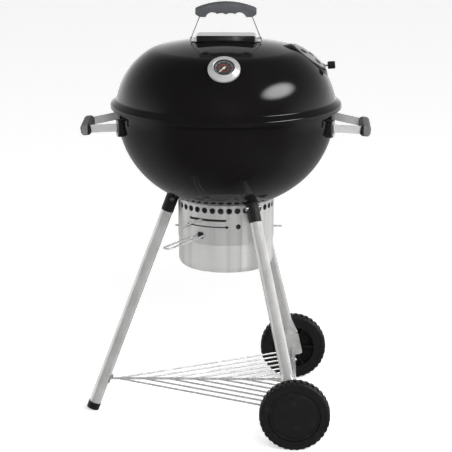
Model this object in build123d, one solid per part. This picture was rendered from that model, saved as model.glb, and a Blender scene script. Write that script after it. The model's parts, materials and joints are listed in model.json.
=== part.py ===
from build123d import *
import os
from math import asin, cos, degrees, radians, sin, sqrt

# A kettle charcoal grill on a three-legged stand with two wheels.
# Millimetres, +Z up. The origin is on the floor, on the bowl's vertical axis.
# +X points from the single leg to the axle, and -Y is the front, where the thermometer faces.

# Fits and clearances
rest_gap = 0.3       # between loose pieces that rest on each other
running_gap = 0.05   # radial, where one piece turns on another
sliding_gap = 0.6    # radial, between the ash pot and its collar
sweep_gap = 0.5      # between the ash sweeper's blades and the bowl
shield_gap = 3.0     # between the heat shield's edges and the lid

# Bowl
bowl_radius = 274.0
bowl_bottom_height = 545.0
bowl_bottom_flattening = 26.0
bowl_side_tightening = 39.0
bowl_bottom_curve = bowl_radius + bowl_bottom_flattening
bowl_side_curve = bowl_radius - bowl_side_tightening
bowl_upright = 20.0
bowl_wall = 1.5
bead_radius = 4.5
vent_length = 58.0
vent_width = 30.0
vent_reach = 63.0

# Lid
lid_rim_overhang = 16.0
lid_rim_radius = bowl_radius + lid_rim_overhang
lid_wall = 1.5
lid_radius = bowl_radius
lid_crown_curve = 800.0
lid_side_tightening = 102.0
lid_knuckle_tightening = 87.0
lid_side_curve = lid_radius - lid_side_tightening
lid_knuckle_curve = lid_side_curve - lid_knuckle_tightening
lid_knuckle_end = 34.4
lid_side_end = 80.0
flare_slope = 35.0
flare_hollow = 6.0
flare_bulge = 7.0
lid_skirt = 5.0
hem_radius = 2.5

# Lid handle and its heat shield
lid_grip_rise = 95.916
lid_grip_half = 76.0
lid_grip_depth = 30.0
lid_strap_wall = 2.0
lid_strap_width = 20.0
lid_strap_reach = 88.5
lid_strap_splay = 21.7
lid_strap_upright = 2.5
lid_strap_foot = 26.0
lid_strap_foot_bolt = 7.0
shield_length = 156.0
shield_depth = 58.0
shield_rise = 14.416
shield_height = 30.0
shield_end_round = 11.0
shield_corner = 12.0
shield_wall = 1.2
shield_pin_radius = 1.5

# Lid thermometer
gauge_tilt = 40.0
bezel_radius = 39.5
bezel_window = 26.0
bezel_wall = 1.5
bezel_rise = 4.5
bezel_slope = 35.0
dial_radius = 30.0
dial_height = 8.5
glass_radius = 26.5
probe_radius = 3.0
probe_length = 55.0
needle_angle = 228.0

# Lid damper
damper_place = 38.0
damper_tilt = 36.0
damper_radius = 50.0
damper_wall = 1.5
damper_curve = 240.0
damper_hole_radius = 10.0
damper_hole_circle = 31.0
seat_margin = 2.0
seat_rise = 1.9
rivet_radius = 4.0
rivet_head = 8.0
damper_knob_radius = 9.5
damper_knob_length = 19.0
damper_knob_round = 3.0
damper_stem_radius = 2.0

# Bowl handles
handle_overhang = 88.5
handle_reach = bowl_radius + handle_overhang
handle_drop = 52.0
handle_slope = 8.0
handle_spread = 88.0
handle_neck = 50.0
handle_bar = 20.0
handle_bar_wall = 2.5
handle_bend = 12.0
grip_width = 27.0
grip_height = 29.0
grip_length = 124.0
grip_round = 10.0
grip_end_round = 6.0
block_width = 28.0
block_height = 42.0
block_depth = 10.0
block_rivet_step = 15.5
block_rivet_radius = 2.5

# Legs
tube_radius = 15.0
tube_wall = 1.5
leg_top_radius = 134.5
leg_top_drop = 5.84
leg_spacing = 120.0
foot_radius = 346.0
foot_height = 4.5
socket_wall = 1.2
socket_length = 42.0
socket_bolt_drop = 6.0
socket_bolt_radius = 3.0
cap_wall = 1.2
cap_length = 18.0
cap_floor = 3.0
pressed_width = 44.0
pressed_wall = 4.0
pressed_length = 40.0
pressed_taper = 55.0
pressed_end = 20.0

# Axle and wheels
axle_radius = 6.0
axle_x = 175.0
wheel_leg_y = 275.0
wheel_radius = 87.4
wheel_width = 40.0
wheel_shoulder = 9.0
lug_count = 36
lug_height = 3.0
wheel_leg_gap = 2.0
wheel_rim_inner = 56.0
wheel_hub_radius = 14.0
wheel_rib_count = 6
wheel_rib_wall = 5.0
wheel_web = 4.0
hubcap_radius = 64.0
hubcap_wall = 2.0
hubcap_bulge = 3.0

# Storage rack
rack_height = 84.5
rack_rod_radius = 3.0
rack_wire_radius = 2.25
rack_first_gap = 17.716
rack_pitch = 65.0
rack_wires = 7
rack_half_angle = 30.0
rack_hook_spacing = 150.0
rack_tab_wall = 3.0

# Ash catcher
collar_radius = 121.0
collar_wall = 1.0
collar_bottom = bowl_bottom_height - 75.0
collar_flange = 13.0
collar_hole_radius = 7.5
collar_hole_height = bowl_bottom_height + 12.0
collar_hole_count = 36
collar_rivet_radius = 2.5
collar_rivet_count = 6
pot_wall = 1.0
pot_bottom = collar_bottom - 75.0
pot_corner = 20.0
pot_top = collar_bottom + 30.0
latch_height = collar_bottom + 22.5
latch_wire_radius = 2.25
latch_inset = 5.0
latch_azimuth = -120.0
latch_reach = 283.0
latch_half_width = 10.0
latch_window_width = 15.0
latch_window_height = 16.0
latch_right_reach = 140.0
latch_left_reach = 127.0

# Ash sweeper
sweeper_radius = 98.0
blade_width = 38.0
blade_wall = 1.5
sweeper_hub = 24.0
shaft_radius = 5.0
lever_radius = 2.0
lever_height = bowl_bottom_height - 12.0
lever_azimuth = -119.7
lever_open = -14.0
lever_shut = 28.0
lever_standoff = 6.0
lever_hang = 24.7
lever_drop = 30.0
lever_slot_gap = 1.0
lever_slot_end = 3.3

# Grates
grate_drop = 31.0
grate_ring_gap = 12.0
grate_ring_radius = bowl_radius - grate_ring_gap
grate_ring_wire = 3.0
grate_rod_radius = 2.5
grate_pitch = 24.0
grate_cross_offset = 110.0
charcoal_height = bowl_bottom_height + 92.0
charcoal_ring_gap = 16.753
charcoal_ring_wire = 4.0
charcoal_rod_radius = 3.5
charcoal_pitch = 28.0
charcoal_cross_offset = 90.0
tab_length = 14.0
tab_width = 20.0
tab_wall = 3.0


# ---------------------------------------------------------------- helpers

def sind(angle):
    return sin(radians(angle))


def cosd(angle):
    return cos(radians(angle))


def polar(radius, azimuth, height):
    return Vector(radius * cosd(azimuth), radius * sind(azimuth), height)


def walk(start, heading, moves):
    """Lines and tangent arcs laid end to end: (length,) runs straight, (radius, turn) bends."""
    place, edges = Vector(*start), []
    for move in moves:
        ahead = Vector(cosd(heading), sind(heading))
        if len(move) == 1:
            there = place + ahead * move[0]
            edges.append(Line(place, there))
        else:
            radius, turn = move
            side = 1 if turn > 0 else -1
            centre = place + Vector(-ahead.Y, ahead.X) * side * radius
            middle = centre + (place - centre).rotate(Axis.Z, turn / 2)
            there = centre + (place - centre).rotate(Axis.Z, turn)
            edges.append(ThreePointArc(place, middle, there))
            heading += turn
        place = there
    return edges, place


def sheet(start, heading, moves, wall):
    """The section of a bent sheet: a walked path thickened by wall to its left, or right if negative."""
    near, near_end = walk(start, heading, moves)
    start = Vector(*start)
    other = start + Vector(-sind(heading), cosd(heading)) * wall
    inner = [m if len(m) == 1 else (m[0] - wall * (1 if m[1] > 0 else -1), m[1]) for m in moves]
    far, far_end = walk(other, heading, inner)
    return make_face([*near, *far, Line(start, other), Line(near_end, far_end)])


def filled(start, heading, moves):
    """The solid of revolution that a walked path from the axis encloses."""
    edges, end = walk(start, heading, moves)
    rim = Vector(0, end.Y)
    face = make_face([*edges, Line(end, rim), Line(rim, Vector(*start))])
    return revolve(Plane.XZ * face, Axis.Z)


def spun(face):
    return revolve(Plane.XZ * face, Axis.Z)


def rod(start, end, radius):
    start, end = Vector(*start), Vector(*end)
    along = end - start
    place = Plane(origin=start, z_dir=along.normalized())
    return place * Cylinder(radius, along.length, align=(Align.CENTER, Align.CENTER, Align.MIN))


def ball(centre, radius):
    return Pos(*Vector(*centre)) * Sphere(radius)


def bent_wire(points, radius):
    shape = rod(points[0], points[1], radius)
    for start, end in zip(points[1:], points[2:]):
        shape += ball(start, radius) + rod(start, end, radius)
    return shape


def hoop(radius, wire, height, start=0.0, sweep=360.0):
    return Pos(0, 0, height) * Rot(0, 0, start) * Torus(radius, wire, major_angle=sweep, align=None)


def puck(radius, low, high):
    """A disc about the local Z axis, from one height to another."""
    return Pos(0, 0, low) * Cylinder(radius, high - low, align=(Align.CENTER, Align.CENTER, Align.MIN))


def both_sides(shape):
    return [shape, mirror(shape, about=Plane.XZ)]


def round_about(shape, count, start=0.0):
    return [Rot(0, 0, start + 360 / count * i) * shape for i in range(count)]


def group(shapes):
    """Several separate solids in one node."""
    return Compound(children=[solid for shape in shapes for solid in shape.solids()])


def cut_all(shape, tools):
    for tool in tools:
        shape -= tool
    return shape


# ---------------------------------------------------------------- shared shapes

# Bowl: a shallow bottom arc that turns into a tighter side arc and an upright wall.
bowl_turn = degrees(asin((bowl_radius - bowl_side_curve) / (bowl_bottom_curve - bowl_side_curve)))
bowl_path = [(bowl_bottom_curve, bowl_turn), (bowl_side_curve, 90 - bowl_turn), (bowl_upright,)]
bowl_start = (0, bowl_bottom_height)
bowl_centre_height = bowl_bottom_height + bowl_bottom_curve
bowl_side_height = bowl_centre_height - (bowl_bottom_curve - bowl_side_curve) * cosd(bowl_turn)
rim_height = bowl_side_height + bowl_upright
handle_height = rim_height - handle_drop
grate_height = rim_height - grate_drop
leg_top_height = bowl_centre_height - sqrt(bowl_bottom_curve**2 - leg_top_radius**2) - leg_top_drop
bowl_outside = filled(bowl_start, 0, bowl_path)
bowl_inner_path = [(r - bowl_wall, turn) for r, turn in bowl_path[:2]] + [(bowl_upright,)]
bowl_inside = filled((0, bowl_bottom_height + bowl_wall), 0, bowl_inner_path)
bead_centre = bowl_radius - bowl_wall + bead_radius


def bowl_radius_at(height):
    """Outer radius of the bowl at a height on its side arc."""
    centre = (bowl_bottom_curve - bowl_side_curve) * sind(bowl_turn)
    return centre + sqrt(bowl_side_curve**2 - (bowl_side_height - height) ** 2)


charcoal_ring_radius = bowl_radius_at(charcoal_height) - charcoal_ring_gap


# Lid: crown, knuckle and side arcs, then a hollow, a sloping flare and a rounded rim.
lid_axis_radius = lid_radius - lid_side_curve * sind(lid_side_end)
knuckle_axis_radius = lid_axis_radius + (lid_side_curve - lid_knuckle_curve) * sind(lid_knuckle_end)
lid_crown_end = degrees(asin(knuckle_axis_radius / (lid_crown_curve - lid_knuckle_curve)))
flare_turn = lid_side_end - flare_slope
hollow_out = flare_hollow * (sind(lid_side_end) - sind(flare_slope))
bulge_out = flare_bulge * (1 - sind(flare_slope))
flare_run = (lid_rim_radius - lid_radius - hollow_out - bulge_out) / cosd(flare_slope)

# The flare's underside rests over the bowl's bead, so the lid's height follows from the bowl's.
hollow_drop = flare_hollow * (cosd(flare_slope) - cosd(lid_side_end))
under_radius = lid_radius + hollow_out - lid_wall * sind(flare_slope)
under_drop = hollow_drop + lid_wall * cosd(flare_slope)
bead_reach = bead_radius + rest_gap + (bead_centre - under_radius) * sind(flare_slope)
lid_base = rim_height + bead_reach / cosd(flare_slope) + under_drop
lid_side_height = lid_base - lid_side_curve * cosd(lid_side_end)
knuckle_height = lid_side_height + (lid_side_curve - lid_knuckle_curve) * cosd(lid_knuckle_end)
lid_crown_height = knuckle_height - (lid_crown_curve - lid_knuckle_curve) * cosd(lid_crown_end)
lid_top = lid_crown_height + lid_crown_curve
lid_grip_top = lid_top + lid_grip_rise
shield_top = lid_top + shield_rise
lid_path = [
    (lid_crown_curve, -lid_crown_end),
    (lid_knuckle_curve, lid_crown_end - lid_knuckle_end),
    (lid_side_curve, lid_knuckle_end - lid_side_end),
]
rim_path = [(flare_hollow, flare_turn), (flare_run,), (flare_bulge, flare_slope - 90), (lid_skirt,)]
lid_start = (0, lid_top)
lid_outside = filled(lid_start, 0, lid_path)
lid_inner_path = [(r - lid_wall, turn) for r, turn in lid_path]
lid_inside = filled((0, lid_top - lid_wall), 0, lid_inner_path)


def crown_height(radius):
    return lid_crown_height + sqrt(lid_crown_curve**2 - radius**2)


def on_lid(tilt):
    """Radius and height on the lid where its outward normal leans by tilt from the vertical."""
    if tilt < lid_knuckle_end:
        radius = knuckle_axis_radius + lid_knuckle_curve * sind(tilt)
        return radius, knuckle_height + lid_knuckle_curve * cosd(tilt)
    radius = lid_axis_radius + lid_side_curve * sind(tilt)
    return radius, lid_side_height + lid_side_curve * cosd(tilt)


parts = {}


# ---------------------------------------------------------------- lid handle

def lid_grip():
    top, half = lid_grip_top, lid_grip_half
    right = [
        ((half - 6, top - 13.6), (half, top - 17)),
        ((half, top - 17), (half, top - 30)),
        ((half, top - 30), (half - 10, top - 37)),
        ((half - 10, top - 37), (half - 26, top - 37)),
    ]
    grooves = [
        ((half - 26, top - 37), (half - 39, top - 25.5), (half - 54, top - 29.5)),
        ((half - 54, top - 29.5), (half - 65, top - 27), (0, top - 30.5)),
    ]
    edges = [ThreePointArc((6 - half, top - 13.6), (0, top), (half - 6, top - 13.6))]
    for side in (1, -1):
        edges += [Line((side * a[0], a[1]), (side * b[0], b[1])) for a, b in right]
        edges += [ThreePointArc(*((side * x, z) for x, z in groove)) for groove in grooves]
    body = extrude(Plane.XZ * make_face(edges), lid_grip_depth / 2, both=True)
    crest = body.edges().filter_by(GeomType.CIRCLE).sort_by(Axis.Z)[-2:]
    body = fillet(crest, 9)
    return body


def lid_strap():
    """The right-hand strap: a foot on the lid, a short upright and a splayed arm up into the grip."""
    foot = lid_strap_foot
    middle = lid_strap_reach - foot / 2
    slope = degrees(asin(middle / lid_crown_curve))
    start = (lid_strap_reach - foot, crown_height(middle) + foot / 2 * sind(slope) / cosd(slope))
    rise = lid_grip_top - 26 - start[1]
    moves = [
        (foot - 3,),
        (3.0, 90 + slope),
        (lid_strap_upright,),
        (12.0, lid_strap_splay),
        ((rise - 3 - lid_strap_upright) / cosd(lid_strap_splay),),
    ]
    section = sheet(start, -slope, moves, lid_strap_wall)
    inset = lid_strap_foot_bolt
    bolt_at = Vector(start[0] + inset * cosd(slope), 0, start[1] - inset * sind(slope))
    return extrude(Plane.XZ * section, lid_strap_width / 2, both=True), bolt_at, slope


def shield_block(inset):
    """The heat shield's outer form, or its hollow, smaller by inset."""
    length, depth = shield_length - 2 * inset, shield_depth - 2 * inset
    front = Rectangle(length, shield_height, align=(Align.CENTER, Align.MAX))
    front = fillet(front.vertices().group_by(Axis.Y)[-1], shield_end_round - inset)
    tall = extrude(Plane.XZ * Pos(0, shield_top - inset) * front, depth / 2, both=True)
    plan = RectangleRounded(length, depth, shield_corner - inset)
    return tall & Pos(0, 0, shield_top - 2 * shield_height) * extrude(plan, 3 * shield_height)


strap, strap_bolt, strap_slope = lid_strap()
bolt_plane = Plane(origin=strap_bolt, x_dir=(cosd(strap_slope), 0, -sind(strap_slope)),
                   z_dir=(sind(strap_slope), 0, cosd(strap_slope)))
handle_bolt = bolt_plane * (puck(2.5, -10, 3) + puck(4.5, lid_strap_wall + 0.1, lid_strap_wall + 3.1))
handle_nut = bolt_plane * (puck(4.5, -6.2, -2.4) - puck(2.5, -7, 0))
shield_pin = rod((shield_length / 2 - 4, 0, shield_top - 9.5), (lid_strap_reach + 1, 0, shield_top - 9.5),
                 shield_pin_radius)
handle_bolts = [handle_bolt, mirror(handle_bolt, about=Plane.YZ)]
shield_pins = [shield_pin, mirror(shield_pin, about=Plane.YZ)]
straps = [strap, mirror(strap, about=Plane.YZ)]
shield = shield_block(0) - shield_block(shield_wall) - Pos(0, 0, shield_gap) * lid_outside
grip = lid_grip()

parts["lid_handle_grip"] = cut_all(grip, straps)
parts["lid_handle_straps"] = group([cut_all(s, [*handle_bolts, *shield_pins]) for s in straps])
parts["lid_heat_shield"] = cut_all(shield, shield_pins)
parts["heat_shield_pins"] = group(shield_pins)
parts["lid_handle_bolts"] = group(handle_bolts)
parts["lid_handle_nuts"] = group([handle_nut, mirror(handle_nut, about=Plane.YZ)])


# ---------------------------------------------------------------- thermometer

gauge_radius, gauge_height = on_lid(gauge_tilt)
gauge = Plane(origin=(0, -gauge_radius, gauge_height), x_dir=(1, 0, 0),
              z_dir=(0, -sind(gauge_tilt), cosd(gauge_tilt)))
bezel_run = (bezel_radius - bezel_window - 3 * (1 - sind(bezel_slope))) / cosd(bezel_slope)
bezel_path = [(bezel_rise,), (3.0, 90 - bezel_slope), (bezel_run,)]
probe = gauge * puck(probe_radius, -probe_length, dial_height)
case = gauge * puck(bezel_radius - bezel_wall, -8, 4.5) - lid_outside - probe
needle = Rot(0, 0, needle_angle) * Pos(5, 0, dial_height + 2) * Box(22, 2.2, 0.8)
needle += puck(3, dial_height + 1, dial_height + 2.4)
gauge_nut = extrude(RegularPolygon(9, 6), 5) - puck(probe_radius, -1, 6)

parts["thermometer_case"] = case
bezel = spun(sheet((bezel_radius, 0), 90, bezel_path, bezel_wall))
parts["thermometer_bezel"] = gauge * Pos(0, 0, 2.5) * bezel - case
parts["thermometer_dial"] = gauge * puck(dial_radius, dial_height, dial_height + 1)
parts["thermometer_needle"] = gauge * needle
parts["thermometer_glass"] = gauge * puck(glass_radius, dial_height + 4, dial_height + 5.2)
parts["thermometer_probe"] = probe
parts["thermometer_nut"] = gauge * Pos(0, 0, -5 - lid_wall - 0.4) * gauge_nut


# ---------------------------------------------------------------- damper

vent_radius, vent_height = on_lid(damper_place)
vent = Plane(origin=(vent_radius, 0, vent_height), x_dir=(cosd(damper_tilt), 0, -sind(damper_tilt)),
             z_dir=(sind(damper_tilt), 0, cosd(damper_tilt)))


def domed(radius, curve, top, wall):
    """A round sheet cut from a sphere whose crown is at height top on the local Z axis."""
    shell = Sphere(curve) - Sphere(curve - wall)
    return Pos(0, 0, top - curve) * shell & puck(radius, top - 40, top + 5)


def seat_form(inset):
    """The raised seat that is pressed into the lid under the damper: a flat-sided cone with a domed top."""
    radius, depth = damper_radius + seat_margin - inset, 40
    cone = Pos(0, 0, seat_rise - depth) * Cone(radius + depth, radius, depth + 6,
                                              align=(Align.CENTER, Align.CENTER, Align.MIN))
    return cone & Pos(0, 0, seat_rise - damper_curve) * Sphere(damper_curve - inset)


damper_holes = [puck(damper_hole_radius, -60, 30)]
damper_holes = [Rot(0, 0, 45 + 90 * i) * Pos(damper_hole_circle, 0, 0) * damper_holes[0] for i in range(4)]
disc_top = seat_rise + rest_gap + damper_wall
disc = domed(damper_radius, damper_curve + rest_gap + damper_wall, disc_top, damper_wall)
disc = cut_all(disc, damper_holes) - puck(rivet_radius + running_gap, -5, 9)
head_seat = disc_top + rest_gap
rivet = puck(rivet_radius, -4, head_seat) + puck(rivet_head, head_seat, head_seat + 1.8)
rivet += puck(rivet_head - 1, seat_rise - lid_wall - 2, seat_rise - lid_wall - 0.1)
disc_outer = damper_curve + rest_gap + damper_wall
disc_ball = Pos(0, 0, disc_top - disc_outer) * Sphere(disc_outer)
stem_foot = Vector(damper_radius - 12, 0, 1)
stem_knee = Vector(damper_radius - 4, 0, 1.5)
stem_tip = Vector(damper_radius, 0, 5)
stem_way = (stem_tip - stem_knee).normalized()
stem = bent_wire([stem_foot, stem_knee, stem_tip + stem_way * damper_knob_length / 2], damper_stem_radius)
stem -= disc_ball
knob = rod(stem_tip, stem_tip + stem_way * damper_knob_length, damper_knob_radius)
knob = fillet(knob.edges().filter_by(GeomType.CIRCLE), damper_knob_round)

parts["damper_disc"] = vent * disc
parts["damper_rivet"] = vent * rivet
parts["damper_stem"] = vent * stem
parts["damper_knob"] = vent * (knob - stem)


# ---------------------------------------------------------------- lid shell

lid = spun(sheet(lid_start, 0, lid_path + rim_path, -lid_wall))
_, skirt_end = walk(lid_start, 0, lid_path + rim_path)
lid += hoop(lid_rim_radius - hem_radius, hem_radius, skirt_end.Y)
seat = vent * (seat_form(0) - seat_form(lid_wall)) - lid_inside
lid = lid - vent * seat_form(lid_wall) + seat
lid = cut_all(lid, [vent * hole for hole in damper_holes] + handle_bolts + [probe])
parts["lid_shell"] = lid - vent * rivet


# ---------------------------------------------------------------- bowl handles

wall_at_handle = bowl_radius_at(handle_height)
grip_corner = (grip_width / 2 - grip_round) * cosd(handle_slope)
grip_corner += (grip_height / 2 - grip_round) * sind(handle_slope)
grip_centre = (handle_reach - wall_at_handle - grip_corner - grip_round) / cosd(handle_slope)
handle_plane = Plane(origin=(wall_at_handle, 0, handle_height),
                     x_dir=(cosd(handle_slope), 0, -sind(handle_slope)),
                     z_dir=(sind(handle_slope), 0, cosd(handle_slope)))
block_azimuth = degrees(asin(handle_spread / wall_at_handle))
bar_end = wall_at_handle * (cosd(block_azimuth) - 1) + 3


def handle_strap():
    half = [(bar_end, handle_spread), (grip_centre, handle_neck)]
    path = FilletPolyline(*half, *[(x, -y) for x, y in reversed(half)], radius=handle_bend)
    return handle_plane * extrude(trace(path, handle_bar_wall), handle_bar / 2, both=True)


def handle_grip():
    body = Box(grip_width, grip_length, grip_height)
    body = fillet(body.edges().filter_by(Axis.Y), grip_round)
    ends = body.faces().filter_by(Axis.Y).edges()
    return handle_plane * Pos(grip_centre, 0, 0) * fillet(ends, grip_end_round)


def block_rivet(azimuth, height):
    wall = bowl_radius_at(height)
    outer = wall_at_handle + block_depth
    shape = rod(polar(wall - 4, azimuth, height), polar(outer + 1, azimuth, height), block_rivet_radius)
    shape += rod(polar(outer, azimuth, height), polar(outer + 2, azimuth, height), 2 * block_rivet_radius)
    inner_head = polar(wall - 4, azimuth, height), polar(wall - 2.2, azimuth, height)
    return shape + rod(*inner_head, 2 * block_rivet_radius)


strap_right = handle_strap()
grip_right = handle_grip()
blocks_right, rivets_right = [], []
for azimuth in (block_azimuth, -block_azimuth):
    rivets = [block_rivet(azimuth, handle_height + step) for step in (block_rivet_step, -block_rivet_step)]
    box = Pos(wall_at_handle, 0, handle_height) * Box(2 * block_depth, block_width, block_height)
    box = fillet(box.edges().filter_by(Axis.X), 5)
    blocks_right.append(cut_all(Rot(0, 0, azimuth) * box - bowl_outside, [strap_right, *rivets]))
    rivets_right += rivets
handle_rivets = []
for side, turn in (("right", 0), ("left", 180)):
    parts[f"{side}_handle_strap"] = Rot(0, 0, turn) * strap_right
    parts[f"{side}_handle_grip"] = Rot(0, 0, turn) * (grip_right - strap_right)
    parts[f"{side}_handle_brackets"] = group([Rot(0, 0, turn) * block for block in blocks_right])
    handle_rivets += [Rot(0, 0, turn) * rivet for rivet in rivets_right]
parts["handle_rivets"] = group(handle_rivets)


# ---------------------------------------------------------------- ash sweeper

sphere_centre = Pos(0, 0, bowl_centre_height)
blade_outer = bowl_bottom_curve - bowl_wall - sweep_gap
blade_shell = sphere_centre * (Sphere(blade_outer) - Sphere(blade_outer - blade_wall))
blade_azimuth = lever_azimuth + 180 / 3
arm = Rectangle(sweeper_radius, blade_width, align=(Align.MIN, Align.CENTER)) & Circle(sweeper_radius)
plan = Circle(sweeper_hub)
for turned in round_about(arm, 3, blade_azimuth):
    plan += turned
blade_floor = bowl_bottom_height - 5
blades = blade_shell & Pos(0, 0, blade_floor) * extrude(plan, 60)
hub_top = bowl_bottom_height + bowl_wall + sweep_gap + blade_wall
blades += puck(12, hub_top - 0.8, hub_top + 6)
shaft = puck(shaft_radius, lever_height - 5, hub_top + 10)
shaft += puck(shaft_radius + 3, hub_top + 6, hub_top + 9)
lever_radius_out = collar_radius + lever_standoff
lever_points = [
    (0, 0, lever_height),
    polar(lever_radius_out, lever_azimuth, lever_height),
    polar(lever_radius_out, lever_azimuth - 0.38 * lever_hang, lever_height - 0.3 * lever_drop),
    polar(lever_radius_out, lever_azimuth - lever_hang, lever_height - 0.88 * lever_drop),
    polar(lever_radius_out, lever_azimuth - lever_hang - 0.9, lever_height - lever_drop),
]
lever = bent_wire(lever_points, lever_radius) + ball(lever_points[-1], lever_radius)
parts["sweeper_blades"] = blades - shaft
parts["sweeper_shaft"] = shaft
parts["sweeper_lever"] = lever - shaft


# ---------------------------------------------------------------- ash catcher

collar_inner = collar_radius - collar_wall
collar_rise = bowl_bottom_height + collar_radius - collar_bottom
collar = Pos(0, 0, collar_bottom) * puck(collar_radius, 0, collar_rise)
collar -= Pos(0, 0, collar_bottom) * puck(collar_inner, -1, collar_rise + 1)
flange = sphere_centre * (Sphere(bowl_bottom_curve + collar_wall) - Sphere(bowl_bottom_curve))
flange_band = puck(collar_radius - 0.1, 0, 60) - puck(collar_radius - collar_flange, -1, 61)
flange &= Pos(0, 0, bowl_bottom_height) * flange_band
collar = collar + flange - bowl_outside
lever_slot_half = lever_radius + lever_slot_gap
slot_start = lever_azimuth + lever_open - lever_slot_end
slot_sweep = lever_shut - lever_open + 2 * lever_slot_end
slot_face = Pos(collar_radius, lever_height) * Rectangle(8, 2 * lever_slot_half)
collar -= Rot(0, 0, slot_start) * revolve(Plane.XZ * slot_face, Axis.Z, revolution_arc=slot_sweep)
hole_ends = [(radius, 0, collar_hole_height) for radius in (collar_inner - 5, collar_radius + 5)]
hole = rod(*hole_ends, collar_hole_radius)
collar = cut_all(collar, round_about(hole, collar_hole_count, 5))

rivet_circle = collar_radius - collar_flange / 2 - 1
flange_slope = degrees(asin(rivet_circle / bowl_bottom_curve))
flange_height = bowl_centre_height - bowl_bottom_curve * cosd(flange_slope)
flange_plane = Plane(origin=(rivet_circle, 0, flange_height),
                     z_dir=(sind(flange_slope), 0, -cosd(flange_slope)))
collar_rivet = flange_plane * (puck(collar_rivet_radius, -bowl_wall - 1, collar_wall + 1)
                               + puck(2 * collar_rivet_radius, collar_wall + 0.1, collar_wall + 1.6)
                               + puck(1.6 * collar_rivet_radius, -bowl_wall - 1.6, -bowl_wall - 0.1))
collar_rivets = round_about(collar_rivet, collar_rivet_count, 30)

# The latch is one length of spring wire: it runs round inside the pot's mouth, its two ends reach
# out through the collar, and its middle is pulled out into a long squeeze handle.
latch_ring = collar_inner - latch_inset
side_turn = degrees(asin(latch_half_width / latch_ring))


def latch_point(along, across):
    return Vector(along * cosd(latch_azimuth) - across * sind(latch_azimuth),
                  along * sind(latch_azimuth) + across * cosd(latch_azimuth), latch_height)


leg_start = latch_ring * cosd(side_turn)
latch_right_turn = -latch_azimuth - side_turn
latch_left_turn = 180 + latch_azimuth - side_turn
bend_end = latch_reach - latch_half_width
latch = hoop(latch_ring, latch_wire_radius, latch_height, latch_azimuth + side_turn, latch_right_turn)
latch += hoop(latch_ring, latch_wire_radius, latch_height, -180, latch_left_turn)
for across in (latch_half_width, -latch_half_width):
    latch += ball(latch_point(leg_start, across), latch_wire_radius)
    latch += rod(latch_point(leg_start, across), latch_point(bend_end, across), latch_wire_radius)
latch_bend = hoop(latch_half_width, latch_wire_radius, 0, latch_azimuth - 90, 180)
latch += Pos(*latch_point(bend_end, 0)) * latch_bend
for azimuth, reach in ((0, latch_right_reach), (180, latch_left_reach)):
    ear_start, ear_end = polar(latch_ring, azimuth, latch_height), polar(reach, azimuth, latch_height)
    latch += ball(ear_start, latch_wire_radius) + rod(ear_start, ear_end, latch_wire_radius)
    latch += ball(ear_end, latch_wire_radius)

wire_hole = latch_wire_radius + 0.5
wire_ways = [rod(latch_point(leg_start, s), latch_point(collar_radius + 9, s), wire_hole)
             for s in (latch_half_width, -latch_half_width)]
wire_ways += [rod(polar(latch_ring, a, latch_height), polar(collar_radius + 9, a, latch_height), wire_hole)
              for a in (0, 180)]
window = Rot(0, 0, latch_azimuth) * Pos(collar_radius, 0, latch_height) * Box(
    12, latch_window_width - 2 * wire_hole, latch_window_height)
collar = cut_all(collar, [window, *wire_ways])

pot_radius = collar_inner - sliding_gap
pot_path = [(pot_radius - pot_corner,), (pot_corner, 90), (pot_top - pot_bottom - pot_corner,)]
pot = spun(sheet((0, pot_bottom), 0, pot_path, pot_wall))
notch_floor = latch_height - wire_hole - 2
notch_rise = pot_top - notch_floor + 5


def notch(azimuth, width):
    box = Box(30, width, notch_rise, align=(Align.CENTER, Align.CENTER, Align.MIN))
    return Rot(0, 0, azimuth) * Pos(pot_radius, 0, notch_floor) * box


pot = cut_all(pot, [notch(latch_azimuth, 2 * latch_half_width + 4 * wire_hole), notch(0, 4 * wire_hole),
                    notch(180, 4 * wire_hole)])

parts["ash_collar"] = cut_all(collar, collar_rivets)
parts["collar_rivets"] = group(collar_rivets)
parts["ash_pot"] = pot
parts["latch_wire"] = latch


# ---------------------------------------------------------------- legs

leg_top = Vector(-leg_top_radius, 0, leg_top_height)
foot_end = Vector(-foot_radius, 0, foot_height)
foot_axis = (leg_top - foot_end).normalized()
socket_radius = tube_radius + socket_wall
cap_radius = tube_radius + cap_wall
tube_clear = Pos(0, 0, -3) * bowl_outside
collar_outside = puck(collar_radius, collar_bottom, bowl_bottom_height + collar_radius)


def socket_pieces(top, axis):
    """A socket, the bolt across it and the bolt's nut, for a leg whose axis meets the bowl at top."""
    sleeve = rod(top - axis * socket_length, top + axis * 40, socket_radius)
    sleeve -= rod(top - axis * 60, top + axis * 60, tube_radius)
    across = Vector(0, 0, 1).cross(axis).normalized()
    middle = top - axis * socket_bolt_drop
    bolt = rod(middle - across * (socket_radius + 6), middle + across * socket_radius, socket_bolt_radius)
    near, far = socket_radius - 0.2, socket_radius + 4
    bolt += rod(middle + across * near, middle + across * far, 2 * socket_bolt_radius)
    nut = rod(middle - across * near, middle - across * far, 2 * socket_bolt_radius)
    nut -= bolt
    return cut_all(sleeve, [bowl_outside, collar_outside, bolt, nut]), bolt, nut


left_socket, left_bolt, left_nut = socket_pieces(leg_top, foot_axis)
left_leg = rod(foot_end + foot_axis * cap_floor, leg_top + foot_axis * 40, tube_radius)
left_leg -= rod(foot_end, leg_top + foot_axis * 50, tube_radius - tube_wall)
left_leg = cut_all(left_leg, [tube_clear, collar_outside])
foot_cap = rod(foot_end, foot_end + foot_axis * cap_length, cap_radius)
foot_cap -= rod(foot_end + foot_axis * cap_floor, foot_end + foot_axis * 40, tube_radius)
foot_cap &= Pos(foot_end.X, 0, 0) * Box(100, 100, 100, align=(Align.CENTER, Align.CENTER, Align.MIN))

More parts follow.
